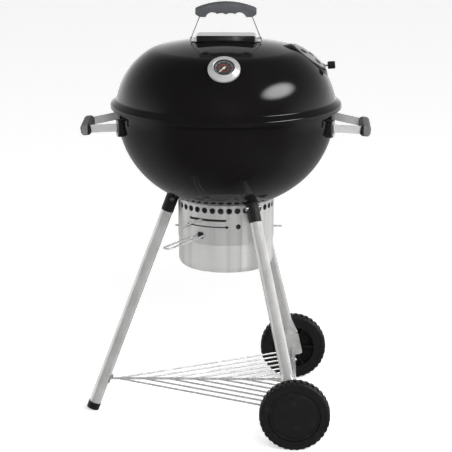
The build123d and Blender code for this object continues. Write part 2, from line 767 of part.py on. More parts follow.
wheel_top = polar(leg_top_radius, -leg_spacing / 2, leg_top_height)
axle_height = wheel_radius
pressed_centre = Vector(axle_x, -wheel_leg_y, axle_height)
wheel_axis = (wheel_top - pressed_centre).normalized()
tube_low = pressed_centre + wheel_axis * (pressed_length + pressed_taper)
flat_axis = Vector(wheel_axis.X, 0, wheel_axis.Z).normalized()
flat_top = pressed_centre + flat_axis * pressed_length
flat_low = pressed_centre - flat_axis * pressed_end
round_end = Plane(origin=tube_low, x_dir=(0, -1, 0), z_dir=wheel_axis) * Circle(tube_radius)
flat_plane = Plane(origin=flat_top, x_dir=(0, -1, 0), z_dir=flat_axis)
flat_end = flat_plane * Ellipse(pressed_wall / 2, pressed_width / 2)
pressed_plate = Plane(origin=(flat_low + flat_top) * 0.5, x_dir=flat_axis.cross(Vector(0, 1, 0)),
                      z_dir=(0, 1, 0))
plate = extrude(RectangleRounded(pressed_width, pressed_length + pressed_end, 6), pressed_wall / 2, both=True)
wheel_leg = rod(tube_low, wheel_top + wheel_axis * 40, tube_radius)
wheel_leg -= rod(tube_low + wheel_axis * 4, wheel_top + wheel_axis * 50, tube_radius - tube_wall)
wheel_leg += loft([flat_end, round_end]) + pressed_plate * plate
wheel_leg = cut_all(wheel_leg, [tube_clear, collar_outside])
axle = rod((axle_x, -wheel_leg_y, axle_height), (axle_x, wheel_leg_y, axle_height), axle_radius)
wheel_socket, wheel_bolt, wheel_nut = socket_pieces(wheel_top, wheel_axis)
wheel_leg -= wheel_bolt

wheel_leg -= rod((axle_x, -400, axle_height), (axle_x, 0, axle_height), axle_radius)

front_leg, back_leg = both_sides(wheel_leg)
front_socket, back_socket = both_sides(wheel_socket)
parts["front_socket"], parts["back_socket"] = front_socket, back_socket
parts["left_socket"] = left_socket
parts["socket_bolts"] = group([left_bolt, *both_sides(wheel_bolt)])
parts["socket_nuts"] = group([left_nut, *both_sides(wheel_nut)])
parts["front_wheel_leg"], parts["back_wheel_leg"] = front_leg, back_leg
parts["foot_cap"] = foot_cap


# ---------------------------------------------------------------- wheels

wheel_inner = wheel_leg_y + pressed_wall / 2 + wheel_leg_gap
wheel_outer = wheel_inner + wheel_width
wheel_side = Plane(origin=(axle_x, 0, axle_height), x_dir=(0, 0, -1), z_dir=(0, -1, 0))
hub_end = wheel_outer - 8
web_low = wheel_outer - 16
recess_floor = wheel_outer - hubcap_wall - 2.5


def tread_row(low, high, phase):
    """Half of the tread: a band with square lugs, which the other half has half a pitch further round."""
    lug = wheel_radius * sind(180 / lug_count)
    root = wheel_radius - lug_height
    face = Circle(root)
    for i in range(lug_count):
        place = Rot(0, 0, 360 / lug_count * (i + phase)) * Pos(wheel_radius - lug_height, 0)
        face += place * Rectangle(4 * lug_height, lug)
    face &= Circle(wheel_radius)
    return Pos(0, 0, low) * extrude(face, high - low)


def shoulder_form():
    corner = wheel_shoulder
    top = wheel_radius + 0.01
    rim = [(wheel_width - 2 * corner,), (corner, -90), (top - corner,)]
    edges, end = walk((wheel_inner + corner, top), 0, rim)
    left, left_end = walk((wheel_inner + corner, top), 180, [(corner, 90), (top - corner,)])
    face = make_face([*edges, *left, Line(end, left_end)])
    return revolve(face, Axis.X)


middle = (wheel_inner + wheel_outer) / 2
wheel = tread_row(wheel_inner, middle, 0) + tread_row(middle, wheel_outer, 0.5)
wheel &= Rot(0, -90, 0) * shoulder_form()
wheel -= puck(wheel_rim_inner, wheel_inner - 1, web_low)
wheel -= puck(wheel_rim_inner, web_low + wheel_web, wheel_outer + 1)
wheel -= puck(hubcap_radius + rest_gap, recess_floor, wheel_outer + 1)
wheel += puck(wheel_hub_radius, wheel_inner, hub_end)
rib = Pos(wheel_rim_inner / 2, 0, (wheel_inner + 6 + web_low) / 2) * Box(wheel_rim_inner + 2, wheel_rib_wall,
                                                                       web_low - wheel_inner - 6)
for turned in round_about(rib, wheel_rib_count, 30):
    wheel += turned
wheel -= puck(axle_radius + running_gap, wheel_inner - 1, wheel_outer)
cap_sphere = (hubcap_radius**2 + hubcap_bulge**2) / (2 * hubcap_bulge)
cap_low = recess_floor
hubcap = Pos(0, 0, cap_low + hubcap_wall + hubcap_bulge - cap_sphere) * Sphere(cap_sphere)
hubcap &= puck(hubcap_radius, cap_low, wheel_outer + 10)
hubcap -= Pos(0, 0, cap_low + hubcap_bulge - cap_sphere) * Sphere(cap_sphere) & puck(wheel_rim_inner, 0, 400)
hubcap += puck(hubcap_radius, cap_low, cap_low + hubcap_wall) - puck(wheel_rim_inner - 4, 0, 2 * wheel_outer)
hubcap -= wheel
axle_tip = hub_end + 3
push_nut = puck(11, hub_end + 1, hub_end + 2.5) + puck(8, hub_end + 2, hub_end + 4)
push_nut -= puck(axle_radius, 0, axle_tip)

for node, shape in (("wheel", wheel), ("hubcap", hubcap)):
    parts[f"front_{node}"], parts[f"back_{node}"] = both_sides(wheel_side * shape)
parts["axle"] = rod((axle_x, -axle_tip, axle_height), (axle_x, axle_tip, axle_height), axle_radius)
parts["axle_push_nuts"] = group(both_sides(wheel_side * push_nut))


# ---------------------------------------------------------------- storage rack

rack_end = axle_x - axle_radius - rack_rod_radius - 0.2
surface_normal = Vector(foot_axis.Z, 0, -foot_axis.X)
tab_axis_height = rack_height + tube_radius * foot_axis.X
tab_axis_point = foot_end + foot_axis * ((tab_axis_height - foot_end.Z) / foot_axis.Z)
tab_face = tab_axis_point + surface_normal * (tube_radius + rack_tab_wall / 2)
rack_first = tab_face.X + rack_first_gap
half_span = (rack_end - rack_first) * sind(rack_half_angle) / cosd(rack_half_angle)
tab = Plane(origin=tab_face, x_dir=(0, 1, 0), z_dir=surface_normal) * Box(16, 24, rack_tab_wall)
head_seat = tab_face + surface_normal * (rack_tab_wall / 2)
screw = rod(tab_axis_point + surface_normal * (tube_radius - 6), head_seat, 2.5)
screw += rod(head_seat, head_seat + surface_normal * 3, 4.5)
screw_lift = foot_axis * 7
screw = Pos(*screw_lift) * screw

rack = rod((tab_face.X, 0, rack_height), (rack_end, 0, rack_height), rack_rod_radius) + tab
rack += rod((rack_end, -half_span, rack_height), (rack_end, half_span, rack_height), rack_rod_radius)
for i in range(rack_wires):
    apex = rack_first + rack_pitch * i
    reach = (rack_end - apex) * half_span / (rack_end - rack_first)
    for side in (1, -1):
        rack += rod((apex, 0, rack_height), (rack_end, side * reach, rack_height), rack_wire_radius)
for side in (1, -1):
    rack += ball((rack_end, side * half_span, rack_height), rack_rod_radius)
    hook = hoop(axle_radius + rack_wire_radius + 0.1, rack_wire_radius, 0, 20, 200)
    rack += Pos(axle_x, side * rack_hook_spacing, axle_height) * Rot(90, 0, 0) * hook
parts["storage_rack"] = rack - screw
parts["rack_screw"] = screw
parts["left_leg"] = left_leg - left_bolt - screw


# ---------------------------------------------------------------- grates and their tabs

def grate(height, ring, ring_wire, rod_radius, pitch, cross_offset):
    """Parallel rods welded inside a ring, with two cross bars under them."""
    shape = hoop(ring, ring_wire, height)
    count = int((ring - 8) / pitch)
    for i in range(-count, count + 1):
        half = sqrt(ring**2 - (i * pitch) ** 2)
        shape += rod((i * pitch, -half, height), (i * pitch, half, height), rod_radius)
    for side in (1, -1):
        half = sqrt(ring**2 - cross_offset**2)
        low = height - 1.6 * rod_radius
        shape += rod((-half, side * cross_offset, low), (half, side * cross_offset, low), rod_radius)
    return shape


def tabs(top, inner, outer):
    box = Pos((inner + outer) / 2, 0, top - tab_wall / 2) * Box(outer - inner, tab_width, tab_wall)
    return [tab & bowl_inside for tab in round_about(box, 4, 45)]


parts["cooking_grate"] = grate(grate_height + rest_gap + grate_ring_wire, grate_ring_radius, grate_ring_wire,
                               grate_rod_radius, grate_pitch, grate_cross_offset)
parts["charcoal_grate"] = grate(charcoal_height + rest_gap + charcoal_ring_wire, charcoal_ring_radius,
                                charcoal_ring_wire, charcoal_rod_radius, charcoal_pitch, charcoal_cross_offset)
upper = tabs(grate_height, grate_ring_radius - tab_length / 2, bowl_radius + 10)
lower = tabs(charcoal_height, charcoal_ring_radius - tab_length / 2, bowl_radius_at(charcoal_height) + 10)
parts["grate_tabs"] = group(upper + lower)


# ---------------------------------------------------------------- bowl shell

bowl = spun(sheet(bowl_start, 0, bowl_path, bowl_wall)) + hoop(bead_centre, bead_radius, rim_height)
vent_slot = extrude(SlotOverall(vent_length, vent_width), 60)
vent_slot = Pos(vent_reach, 0, bowl_bottom_height - 20) * vent_slot
vent_slots = round_about(vent_slot, 3, blade_azimuth + lever_shut)
bowl = cut_all(bowl, vent_slots + handle_rivets + collar_rivets)
parts["bowl"] = bowl - puck(shaft_radius + running_gap, bowl_bottom_height - 20, bowl_bottom_height + 40)


# ---------------------------------------------------------------- output

os.makedirs("parts", exist_ok=True)
for name, shape in parts.items():
    shape.label = name
    export_step(shape, f"parts/{name}.step")
print(len(parts), "nodes")
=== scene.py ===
import json
from math import asin, ceil, cos, degrees, pi, radians, sin, sqrt

import bmesh
import bpy
from mathutils import Matrix, Vector


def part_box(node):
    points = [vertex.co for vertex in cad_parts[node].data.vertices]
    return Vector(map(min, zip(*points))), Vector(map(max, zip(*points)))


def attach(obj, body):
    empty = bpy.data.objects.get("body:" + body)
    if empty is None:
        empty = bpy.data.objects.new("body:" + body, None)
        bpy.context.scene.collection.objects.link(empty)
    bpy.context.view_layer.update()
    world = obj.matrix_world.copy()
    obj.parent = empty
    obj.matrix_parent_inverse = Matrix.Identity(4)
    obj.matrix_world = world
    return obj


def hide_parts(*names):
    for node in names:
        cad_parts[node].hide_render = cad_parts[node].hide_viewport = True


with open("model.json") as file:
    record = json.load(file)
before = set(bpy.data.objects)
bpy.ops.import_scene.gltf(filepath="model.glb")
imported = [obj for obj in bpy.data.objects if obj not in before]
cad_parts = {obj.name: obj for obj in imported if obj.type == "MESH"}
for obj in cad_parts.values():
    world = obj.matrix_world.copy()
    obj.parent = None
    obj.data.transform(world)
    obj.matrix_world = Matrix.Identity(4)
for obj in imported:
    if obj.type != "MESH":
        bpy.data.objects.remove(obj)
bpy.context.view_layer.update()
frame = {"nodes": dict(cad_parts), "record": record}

# Shapes are worked out in millimetres and scaled to metres as meshes are made.
mm = 0.001


def sind(angle):
    return sin(radians(angle))


def cosd(angle):
    return cos(radians(angle))


def low(node):
    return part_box(node)[0] / mm


def high(node):
    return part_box(node)[1] / mm


# ---------------------------------------------------------------- finishes

class Value:
    """A shader socket. Arithmetic on it adds the Math nodes."""

    def __init__(self, finish, socket):
        self.finish, self.socket = finish, socket

    def maths(self, operation, *others, first=None):
        settings = {"operation": operation}
        values = [self if first is None else first, *(others if first is None else (self, *others))]
        return self.finish.node("ShaderNodeMath", settings, dict(enumerate(values))).out("Value")

    def __add__(self, other):
        return self.maths("ADD", other)

    def __radd__(self, other):
        return self.maths("ADD", other)

    def __sub__(self, other):
        return self.maths("SUBTRACT", other)

    def __rsub__(self, other):
        return self.maths("SUBTRACT", first=other)

    def __mul__(self, other):
        return self.maths("MULTIPLY", other)

    def __rmul__(self, other):
        return self.maths("MULTIPLY", other)

    def __truediv__(self, other):
        return self.maths("DIVIDE", other)

    def __pow__(self, other):
        return self.maths("POWER", other)

    def over(self, edge):
        """1 where the value passes the edge, else 0."""
        return self.maths("GREATER_THAN", edge)

    def ramp(self, start, end):
        """A smooth step from 0 at start to 1 at end."""
        settings = {"interpolation_type": "SMOOTHSTEP"}
        sockets = {"Value": self, "From Min": start, "From Max": end}
        return self.finish.node("ShaderNodeMapRange", settings, sockets).out("Result")


class Added:
    """A node that a finish has added; out gives one of its outputs."""

    def __init__(self, finish, node):
        self.finish, self.node = finish, node

    def out(self, name):
        return Value(self.finish, self.node.outputs[name])


class Finish:
    """A material or the world's light: a node tree, and the means to add to it."""

    def __init__(self, owner):
        self.owner = owner
        owner.use_nodes = True
        self.tree = owner.node_tree

    def node(self, kind, settings=None, sockets=None):
        node = self.tree.nodes.new(kind)
        for name, value in (settings or {}).items():
            setattr(node, name, value)
        for name, value in (sockets or {}).items():
            self.feed(node.inputs[name], value)
        return Added(self, node)

    def feed(self, socket, value):
        if isinstance(value, Value):
            self.tree.links.new(value.socket, socket)
        else:
            socket.default_value = value

    def place(self, kind="Object"):
        return self.node("ShaderNodeTexCoord").out(kind)

    def stretched(self, scale):
        """The piece's own coordinates, multiplied along X, Y and Z."""
        sockets = {0: self.place(), 1: scale}
        return self.node("ShaderNodeVectorMath", {"operation": "MULTIPLY"}, sockets).out("Vector")

    def around(self, turns, rise):
        """Coordinates for a piece turned about the bowl's axis: its azimuth, and its height."""
        split = self.node("ShaderNodeSeparateXYZ", None, {0: self.place()})
        azimuth = split.out("Y").maths("ARCTAN2", split.out("X"))
        sockets = {"X": azimuth.maths("SINE") * turns, "Y": azimuth.maths("COSINE") * turns,
                   "Z": split.out("Z") * rise}
        return self.node("ShaderNodeCombineXYZ", None, sockets).out("Vector")

    def noise(self, vector, scale=1.0, detail=3.0, roughness=0.55):
        sockets = {"Vector": vector, "Scale": scale, "Detail": detail, "Roughness": roughness}
        return self.node("ShaderNodeTexNoise", None, sockets).out("Fac")

    def cells(self, vector, scale):
        return self.node("ShaderNodeTexVoronoi", None, {"Vector": vector, "Scale": scale}).out("Distance")

    def mix(self, factor, one, other):
        """A colour between two others."""
        sockets = {0: factor, 6: one, 7: other}
        node = self.node("ShaderNodeMix", {"data_type": "RGBA"}, sockets)
        return Value(self, node.node.outputs[2])

    def bump(self, height, distance, strength=1.0):
        sockets = {"Height": height, "Distance": distance, "Strength": strength}
        return self.node("ShaderNodeBump", None, sockets).out("Normal")


def finish(name, **sockets):
    """A principled material: its name, and the sockets that are the same all over."""
    made = Finish(bpy.data.materials.new(name))
    made.shader = made.tree.nodes["Principled BSDF"]
    for socket, value in sockets.items():
        made.shader.inputs[socket.replace("_", " ")].default_value = value
    return made


def set_sockets(made, **values):
    for socket, value in values.items():
        made.feed(made.shader.inputs[socket.replace("_", " ")], value)


def grey(level):
    return (level, level, level, 1.0)


def enamel():
    """Black porcelain enamel: a deep gloss with the faint waviness of a fired coat."""
    made = finish("enamel", IOR=1.42)
    waves = made.noise(made.place(), 26, 2)
    specks = made.noise(made.place(), 900, 2)
    dust = made.noise(made.place(), 9, 5).ramp(0.45, 0.85)
    set_sockets(made,
                Base_Color=made.mix(dust, (0.0058, 0.0052, 0.0054, 1), (0.0090, 0.0086, 0.0086, 1)),
                Roughness=0.085 + dust * 0.05 + specks * 0.02,
                Normal=made.bump(waves + specks * 0.02, 0.00012, 0.6))
    return made


def moulded(name, dark, light, roughness, grain, depth):
    """Moulded plastic with a fine sparked grain and a little handling shine."""
    made = finish(name, IOR=1.46)
    pits = made.cells(made.place(), grain)
    cloud = made.noise(made.place(), 45, 4)
    set_sockets(made,
                Base_Color=made.mix(cloud.ramp(0.3, 0.75), dark, light),
                Roughness=roughness + (cloud - 0.5) * 0.14,
                Normal=made.bump(pits + made.noise(made.place(), grain * 1.7, 2) * 0.5, depth, 0.5))
    return made


def side_grip():
    """The bowl handles' grips: a grey outer shot moulded over a black core that shows on the bowl's side."""
    made = finish("side_grip", IOR=1.46)
    split = made.node("ShaderNodeSeparateXYZ", None, {0: made.place()})
    reach = split.out("X").maths("ABSOLUTE")
    core = 1 - reach.over(high("right_handle_grip").x * mm - 0.0185)
    pits = made.cells(made.place(), 1400)
    cloud = made.noise(made.place(), 45, 4)
    shot = made.mix(cloud.ramp(0.3, 0.75), (0.115, 0.115, 0.115, 1), (0.140, 0.140, 0.138, 1))
    set_sockets(made,
                Base_Color=made.mix(core, shot, (0.012, 0.012, 0.012, 1)),
                Roughness=0.5 + (cloud - 0.5) * 0.14,
                Normal=made.bump(pits + made.noise(made.place(), 2400, 2) * 0.5, 0.00012, 0.5))
    return made


def wheel_plastic():
    """The wheels' matt black plastic: blow-moulded skin, paler where the tread scuffs."""
    made = finish("wheel_plastic", IOR=1.45)
    skin = made.noise(made.place(), 420, 3)
    scuffs = made.noise(made.place(), 70, 5, 0.7).ramp(0.52, 0.8)
    set_sockets(made,
                Base_Color=made.mix(scuffs, (0.0085, 0.0085, 0.0088, 1), (0.021, 0.0205, 0.020, 1)),
                Roughness=0.46 + scuffs * 0.2 + skin * 0.05,
                Normal=made.bump(skin, 0.00025, 0.5))
    return made


def drawn_tube():
    """Bright plated tube: drawing lines along the leg and soft smears across it."""
    made = finish("plated_tube", Metallic=0.62)
    lines = made.noise(made.stretched((420, 420, 9)), 1, 4)
    smears = made.noise(made.place(), 22, 5, 0.65)
    set_sockets(made,
                Base_Color=made.mix(smears.ramp(0.3, 0.7), (0.66, 0.655, 0.645, 1), (0.80, 0.795, 0.785, 1)),
                Roughness=0.13 + smears * 0.10 + lines * 0.05,
                Normal=made.bump(lines, 0.00003, 0.6))
    return made


def polished(name, light, roughness, metal=1.0):
    """Bright sheet or bar: fine random scratches and faint smudges."""
    made = finish(name, Metallic=metal)
    scratches = made.noise(made.stretched((90, 700, 500)), 1, 3)
    smudges = made.noise(made.place(), 35, 5, 0.6)
    set_sockets(made,
                Base_Color=made.mix(smudges.ramp(0.3, 0.75), grey(light * 0.86), grey(light)),
                Roughness=roughness + smudges * 0.1,
                Normal=made.bump(scratches, 0.00003, 0.5))
    return made


def turned(name, light, roughness, depth, metal):
    """Sheet brushed in rings about the bowl's axis, as a spun or rolled can is, with painted reflections:
    dark upright bands round the axis in the base colour.
    """
    made = finish(name, Metallic=metal)
    rings = made.noise(made.around(1.2, 1500), 1, 4, 0.7)
    fine = made.noise(made.around(9, 5200), 1, 2)
    patches = made.noise(made.place(), 14, 4, 0.6)
    # painted reflection: dark upright bands round the axis, standing in for dark parts of the room reflected
    # in the metal
    painted_reflection_bands = made.noise(made.around(5.5, 0.4), 1, 2, 0.5).ramp(0.36, 0.64)
    tone = (rings * 0.6 + fine * 0.4).ramp(0.25, 0.75)
    brushed = made.mix(tone, (light * 0.84, light * 0.835, light * 0.82, 1),
                       (light, light * 0.995, light * 0.985, 1))
    set_sockets(made,
                # painted reflection: the dark bands darken the base colour
                Base_Color=made.mix(painted_reflection_bands * 0.34, brushed, (light * 0.36, light * 0.36, light * 0.35, 1)),
                Roughness=roughness + patches * 0.14 + tone * 0.05,
                Normal=made.bump(rings + fine * 0.5, depth, 0.5))
    return made


def glass():
    made = finish("gauge_glass", IOR=1.45, Alpha=0.06, Base_Color=grey(0.05))
    smears = made.noise(made.place(), 60, 3)
    set_sockets(made, Roughness=0.03 + smears * 0.06)
    return made


def painted(name, dark, light, roughness):
    """Thin printed or sprayed paint."""
    made = finish(name, IOR=1.45)
    mottle = made.noise(made.place(), 300, 3)
    set_sockets(made,
                Base_Color=made.mix(mottle.ramp(0.3, 0.7), dark, light),
                Roughness=roughness + mottle * 0.1,
                Normal=made.bump(mottle, 0.00003, 0.4))
    return made


finishes = {
    "enamel": enamel(),
    "dark_grip": moulded("dark_grip", (0.070, 0.072, 0.079, 1), (0.086, 0.088, 0.095, 1), 0.5, 1400, 0.00012),
    "grey_grip": side_grip(),
    "black_plastic": moulded("black_plastic", (0.009, 0.009, 0.010, 1), (0.014, 0.014, 0.014, 1), 0.42, 1600,
                             0.0001),
    "wheel_plastic": wheel_plastic(),
    "polished_steel": polished("polished_steel", 0.74, 0.13, 0.92),
    "satin_steel": turned("ring_brushed_steel", 0.80, 0.24, 0.00004, 0.62),
    "satin_aluminium": turned("satin_aluminium", 0.70, 0.30, 0.00003, 0.8),
    "wire": polished("plated_wire", 0.74, 0.22, 0.6),
    "dark_steel": polished("plain_steel", 0.30, 0.34),
    "dial": painted("dial_paint", (0.030, 0.032, 0.036, 1), (0.040, 0.042, 0.046, 1), 0.5),
    "needle": painted("needle_paint", (0.78, 0.76, 0.72, 1), (0.88, 0.86, 0.82, 1), 0.45),
    "glass": glass(),
}
tube_finish = drawn_tube()
shield_finish = polished("mirror_steel", 0.70, 0.15)
bar_finish = polished("flat_bar_steel", 0.78, 0.2, 0.5)
pot_finish = turned("satin_pot", 0.80, 0.34, 0.00003, 0.5)
bezel_finish = polished("bezel_steel", 0.78, 0.2, 0.55)
print_finish = painted("black_print", (0.010, 0.010, 0.010, 1), (0.016, 0.016, 0.016, 1), 0.4)
zone_finish = painted("dial_zone", (0.15, 0.045, 0.025, 1), (0.20, 0.06, 0.03, 1), 0.5)
tick_finish = painted("dial_ticks", (0.42, 0.43, 0.44, 1), (0.5, 0.5, 0.5, 1), 0.5)


def dress(piece, made):
    piece.data.materials.clear()
    piece.data.materials.append(made.owner)


# ---------------------------------------------------------------- mesh work

def walk(start, heading, moves, turn_step=2.5):
    """Points along lines and tangent arcs laid end to end: (length,) runs, (radius, turn) bends."""
    x, z = start
    points = [(x, z)]
    for move in moves:
        if len(move) == 1:
            x, z = x + move[0] * cosd(heading), z + move[0] * sind(heading)
            points.append((x, z))
            continue
        radius, turn = move
        side = 1 if turn > 0 else -1
        centre_x, centre_z = x - side * radius * sind(heading), z + side * radius * cosd(heading)
        steps = max(2, ceil(abs(turn) / turn_step))
        for i in range(1, steps + 1):
            angle = heading + turn * i / steps
            points.append((centre_x + side * radius * sind(angle), centre_z - side * radius * cosd(angle)))
        heading += turn
        x, z = points[-1]
    return points


def sheet(start, heading, moves, wall):
    """The closed section of a bent sheet, wall thick to the path's left, or right if negative."""
    inner = [m if len(m) == 1 else (m[0] - wall * (1 if m[1] > 0 else -1), m[1]) for m in moves]
    other = (start[0] - wall * sind(heading), start[1] + wall * cosd(heading))
    return walk(start, heading, moves) + walk(other, heading, inner)[::-1]


def piece_from(name, mesh):
    piece = bpy.data.objects.new(name, mesh)
    bpy.context.scene.collection.objects.link(piece)
    return piece


def shaded(mesh, angle=32):
    mesh.shade_smooth()
    mesh.set_sharp_from_angle(angle=radians(angle))


def clean(form, mesh):
    bmesh.ops.remove_doubles(form, verts=form.verts, dist=1e-7)
    bmesh.ops.dissolve_degenerate(form, edges=form.edges, dist=1e-7)
    bmesh.ops.recalc_face_normals(form, faces=form.faces)
    form.to_mesh(mesh)
    form.free()
    return mesh


def lathe(name, sections, segments=192, place=Matrix.Identity(4)):
    """Turns closed sections, in millimetres from the local Z axis, into one mesh."""
    form = bmesh.new()
    for section in sections:
        rings = []
        for i in range(segments):
            c, s = cos(2 * pi * i / segments), sin(2 * pi * i / segments)
            rings.append([form.verts.new(place @ Vector((r * c * mm, r * s * mm, z * mm)))
                          for r, z in section])
        for one, two in zip(rings, rings[1:] + rings[:1]):
            for i in range(len(section)):
                j = (i + 1) % len(section)
                if section[i][0] + section[j][0] > 1e-6:
                    form.faces.new((one[i], two[i], two[j], one[j]))
    return piece_from(name, clean(form, bpy.data.meshes.new(name)))


def prism(outline, bottom, top, place):
    """A cutter: a closed outline in millimetres, raised between two local heights."""
    form = bmesh.new()
    ends = [[form.verts.new(place @ Vector((x * mm, y * mm, z * mm))) for x, y in outline]
            for z in (bottom, top)]
    form.faces.new(ends[0][::-1])
    form.faces.new(ends[1])
    for i in range(len(outline)):
        j = (i + 1) % len(outline)
        form.faces.new((ends[0][i], ends[0][j], ends[1][j], ends[1][i]))
    return piece_from("cutter", clean(form, bpy.data.meshes.new("cutter")))


def round_outline(radius, steps=32, across=0.0, along=0.0):
    return [(across + radius * cos(2 * pi * i / steps), along + radius * sin(2 * pi * i / steps))
            for i in range(steps)]


def box_outline(width, height):
    x, y = width / 2, height / 2
    return [(-x, -y), (x, -y), (x, y), (-x, y)]


def joined(pieces):
    """One piece from several that don't touch."""
    form = bmesh.new()
    for piece in pieces:
        form.from_mesh(piece.data)
    for piece in pieces[1:]:
        bpy.data.objects.remove(piece)
    form.to_mesh(pieces[0].data)
    form.free()
    return pieces[0]


def carve(piece, cutter, operation="DIFFERENCE"):
    """Cuts, trims or fuses one solid with another, which is used up."""
    modifier = piece.modifiers.new("carve", "BOOLEAN")
    modifier.operation, modifier.solver, modifier.object = operation, "EXACT", cutter
    bpy.context.view_layer.update()
    carved = bpy.data.meshes.new_from_object(piece.evaluated_get(bpy.context.evaluated_depsgraph_get()))
    piece.modifiers.clear()
    piece.data = carved
    bpy.data.objects.remove(cutter)
    return piece


def placed(origin, x_axis, z_axis):
    """A frame from its origin in millimetres, its X axis and its Z axis."""
    x_axis, z_axis = Vector(x_axis).normalized(), Vector(z_axis).normalized()
    frame_axes = Matrix((x_axis, z_axis.cross(x_axis), z_axis)).transposed().to_4x4()
    return Matrix.Translation(Vector(origin) * mm) @ frame_axes


def turned_by(azimuth):
    return Matrix.Rotation(radians(azimuth), 4, "Z")


def finished(piece, made, body, slot_name, *nodes, angle=32):
    """The last step for a piece: shading, finish, body, and the CAD nodes it stands for; slot_name is not
    used.
    """
    shaded(piece.data, angle)
    dress(piece, made)
    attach(piece, body)
    if nodes:
        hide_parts(*nodes)
    return piece


# ---------------------------------------------------------------- bowl

bowl_radius = 274.0
bowl_bottom = 545.0
bowl_bottom_curve = 300.0
bowl_side_curve = 235.0
bowl_upright = 20.0
wall = 1.5
bead = 4.5
bowl_turn = degrees(asin((bowl_radius - bowl_side_curve) / (bowl_bottom_curve - bowl_side_curve)))
bowl_centre = bowl_bottom + bowl_bottom_curve
bowl_path = [(bowl_bottom_curve, bowl_turn), (bowl_side_curve, 90 - bowl_turn), (bowl_upright,)]
rim_height = bowl_centre - (bowl_bottom_curve - bowl_side_curve) * cosd(bowl_turn) + bowl_upright
vent_reach = 63.0
vent_length = 58.0
vent_width = 30.0
shaft_hole = 5.05
lever_azimuth = -119.7
lever_open = -14.0
lever_shut = 28.0


def bowl_height(radius):
    """Height of the bowl's underside near its axis."""
    return bowl_centre - sqrt(bowl_bottom_curve**2 - radius**2)


def make_bowl():
    bowl = lathe("bowl_shell", [sheet((0, bowl_bottom), 0, bowl_path, wall)], 256)
    end, half = vent_width / 2, (vent_length - vent_width) / 2
    slot = [(half + end * cosd(a), end * sind(a)) for a in range(-90, 91, 10)]
    slot += [(-half + end * cosd(a), end * sind(a)) for a in range(90, 271, 10)]
    slots = [prism([(vent_reach + x, y) for x, y in slot], bowl_bottom - 20, bowl_bottom + 40,
                   turned_by(lever_azimuth + 60 + lever_shut + 120 * i)) for i in range(3)]
    slots.append(prism(round_outline(shaft_hole), bowl_bottom - 20, bowl_bottom + 30, Matrix.Identity(4)))
    carve(bowl, joined(slots))
    rolled = lathe("rolled_rim", [round_outline(bead, 24, bowl_radius - wall + bead, rim_height)], 256)
    finished(joined([bowl, rolled]), finishes["enamel"], "stand", "enamel", "bowl")


make_bowl()


# ---------------------------------------------------------------- lid

lid_rim_radius = 290.0
lid_crown = 800.0
lid_knuckle = 85.0
lid_side = 172.0
knuckle_end = 34.4
side_end = 80.0
flare_slope = 35.0
flare_hollow = 6.0
flare_bulge = 7.0
skirt = 5.0
hem = 2.5
lid_top = high("lid_shell").z
side_axis = bowl_radius - lid_side * sind(side_end)
knuckle_axis = side_axis + (lid_side - lid_knuckle) * sind(knuckle_end)
crown_end = degrees(asin(knuckle_axis / (lid_crown - lid_knuckle)))
crown_centre = lid_top - lid_crown
knuckle_height = crown_centre + (lid_crown - lid_knuckle) * cosd(crown_end)
side_height = knuckle_height - (lid_side - lid_knuckle) * cosd(knuckle_end)
flare_run = (lid_rim_radius - bowl_radius - flare_hollow * (sind(side_end) - sind(flare_slope))
             - flare_bulge * (1 - sind(flare_slope))) / cosd(flare_slope)
dome_path = [
    (lid_crown, -crown_end),
    (lid_knuckle, crown_end - knuckle_end),
    (lid_side, knuckle_end - side_end),
]
rim_path = [(flare_hollow, side_end - flare_slope), (flare_run,), (flare_bulge, flare_slope - 90), (skirt,)]


def on_lid(tilt):
    """Radius and height where the lid's outward normal leans by tilt from the vertical."""
    if tilt < knuckle_end:
        return knuckle_axis + lid_knuckle * sind(tilt), knuckle_height + lid_knuckle * cosd(tilt)
    return side_axis + lid_side * sind(tilt), side_height + lid_side * cosd(tilt)


damper_place = 38.0
damper_tilt = 36.0
seat_curve = 240.0
seat_rise = 1.9
seat_radius = 52.0
seat_round = 9.0
hole_radius = 10.0
hole_circle = 31.0
rivet_radius = 4.0
vent_out, vent_up = on_lid(damper_place)
vent = placed((vent_out, 0, vent_up), (cosd(damper_tilt), 0, -sind(damper_tilt)),
              (sind(damper_tilt), 0, cosd(damper_tilt)))


def seat_sections(inset, depth):
    """Half the seat's outline: a shallow dome, a soft shoulder and a flank that slopes away at 45 degrees."""
    dome = degrees(asin((seat_radius + 1) / seat_curve))
    path = [(seat_curve - inset, -dome), (seat_round - inset, dome - 45), (depth,)]
    return walk((0, seat_rise - inset), 0, path)


def filled(points):
    """A closed section from an outline that starts on the axis."""
    return points + [(0, points[-1][1])]


def dome_solid(name, inset):
    path = [(r - inset, turn) for r, turn in dome_path]
    return lathe(name, [filled(walk((0, lid_top - inset), 0, path))], 256)


def make_lid():
    lid = lathe("lid_dome", [sheet((0, lid_top), 0, dome_path + rim_path, -wall)], 256)
    inner_flank = seat_sections(wall, 40)
    carve(lid, lathe("cutter", [filled(inner_flank)], 128, vent))
    seat = lathe("damper_seat", [seat_sections(0, 32) + seat_sections(wall, 30)[::-1]], 128, vent)
    carve(seat, dome_solid("cutter", wall))
    centres = [(hole_circle * cosd(a), hole_circle * sind(a)) for a in (45, 135, 225, 315)]
    holes = [prism(round_outline(hole_radius, 40, *centre), -60, 30, vent) for centre in centres]
    holes.append(prism(round_outline(rivet_radius), -60, 30, vent))
    carve(seat, joined(holes))
    dome_end = walk((0, lid_top), 0, dome_path + rim_path)[-1]
    rolled = lathe("lid_hem", [round_outline(hem, 20, lid_rim_radius - hem, dome_end[1])], 256)
    finished(joined([lid, rolled]), finishes["enamel"], "lid", "enamel", "lid_shell")
    finished(seat, finishes["enamel"], "lid", "enamel", angle=40)


make_lid()


# ---------------------------------------------------------------- thermometer

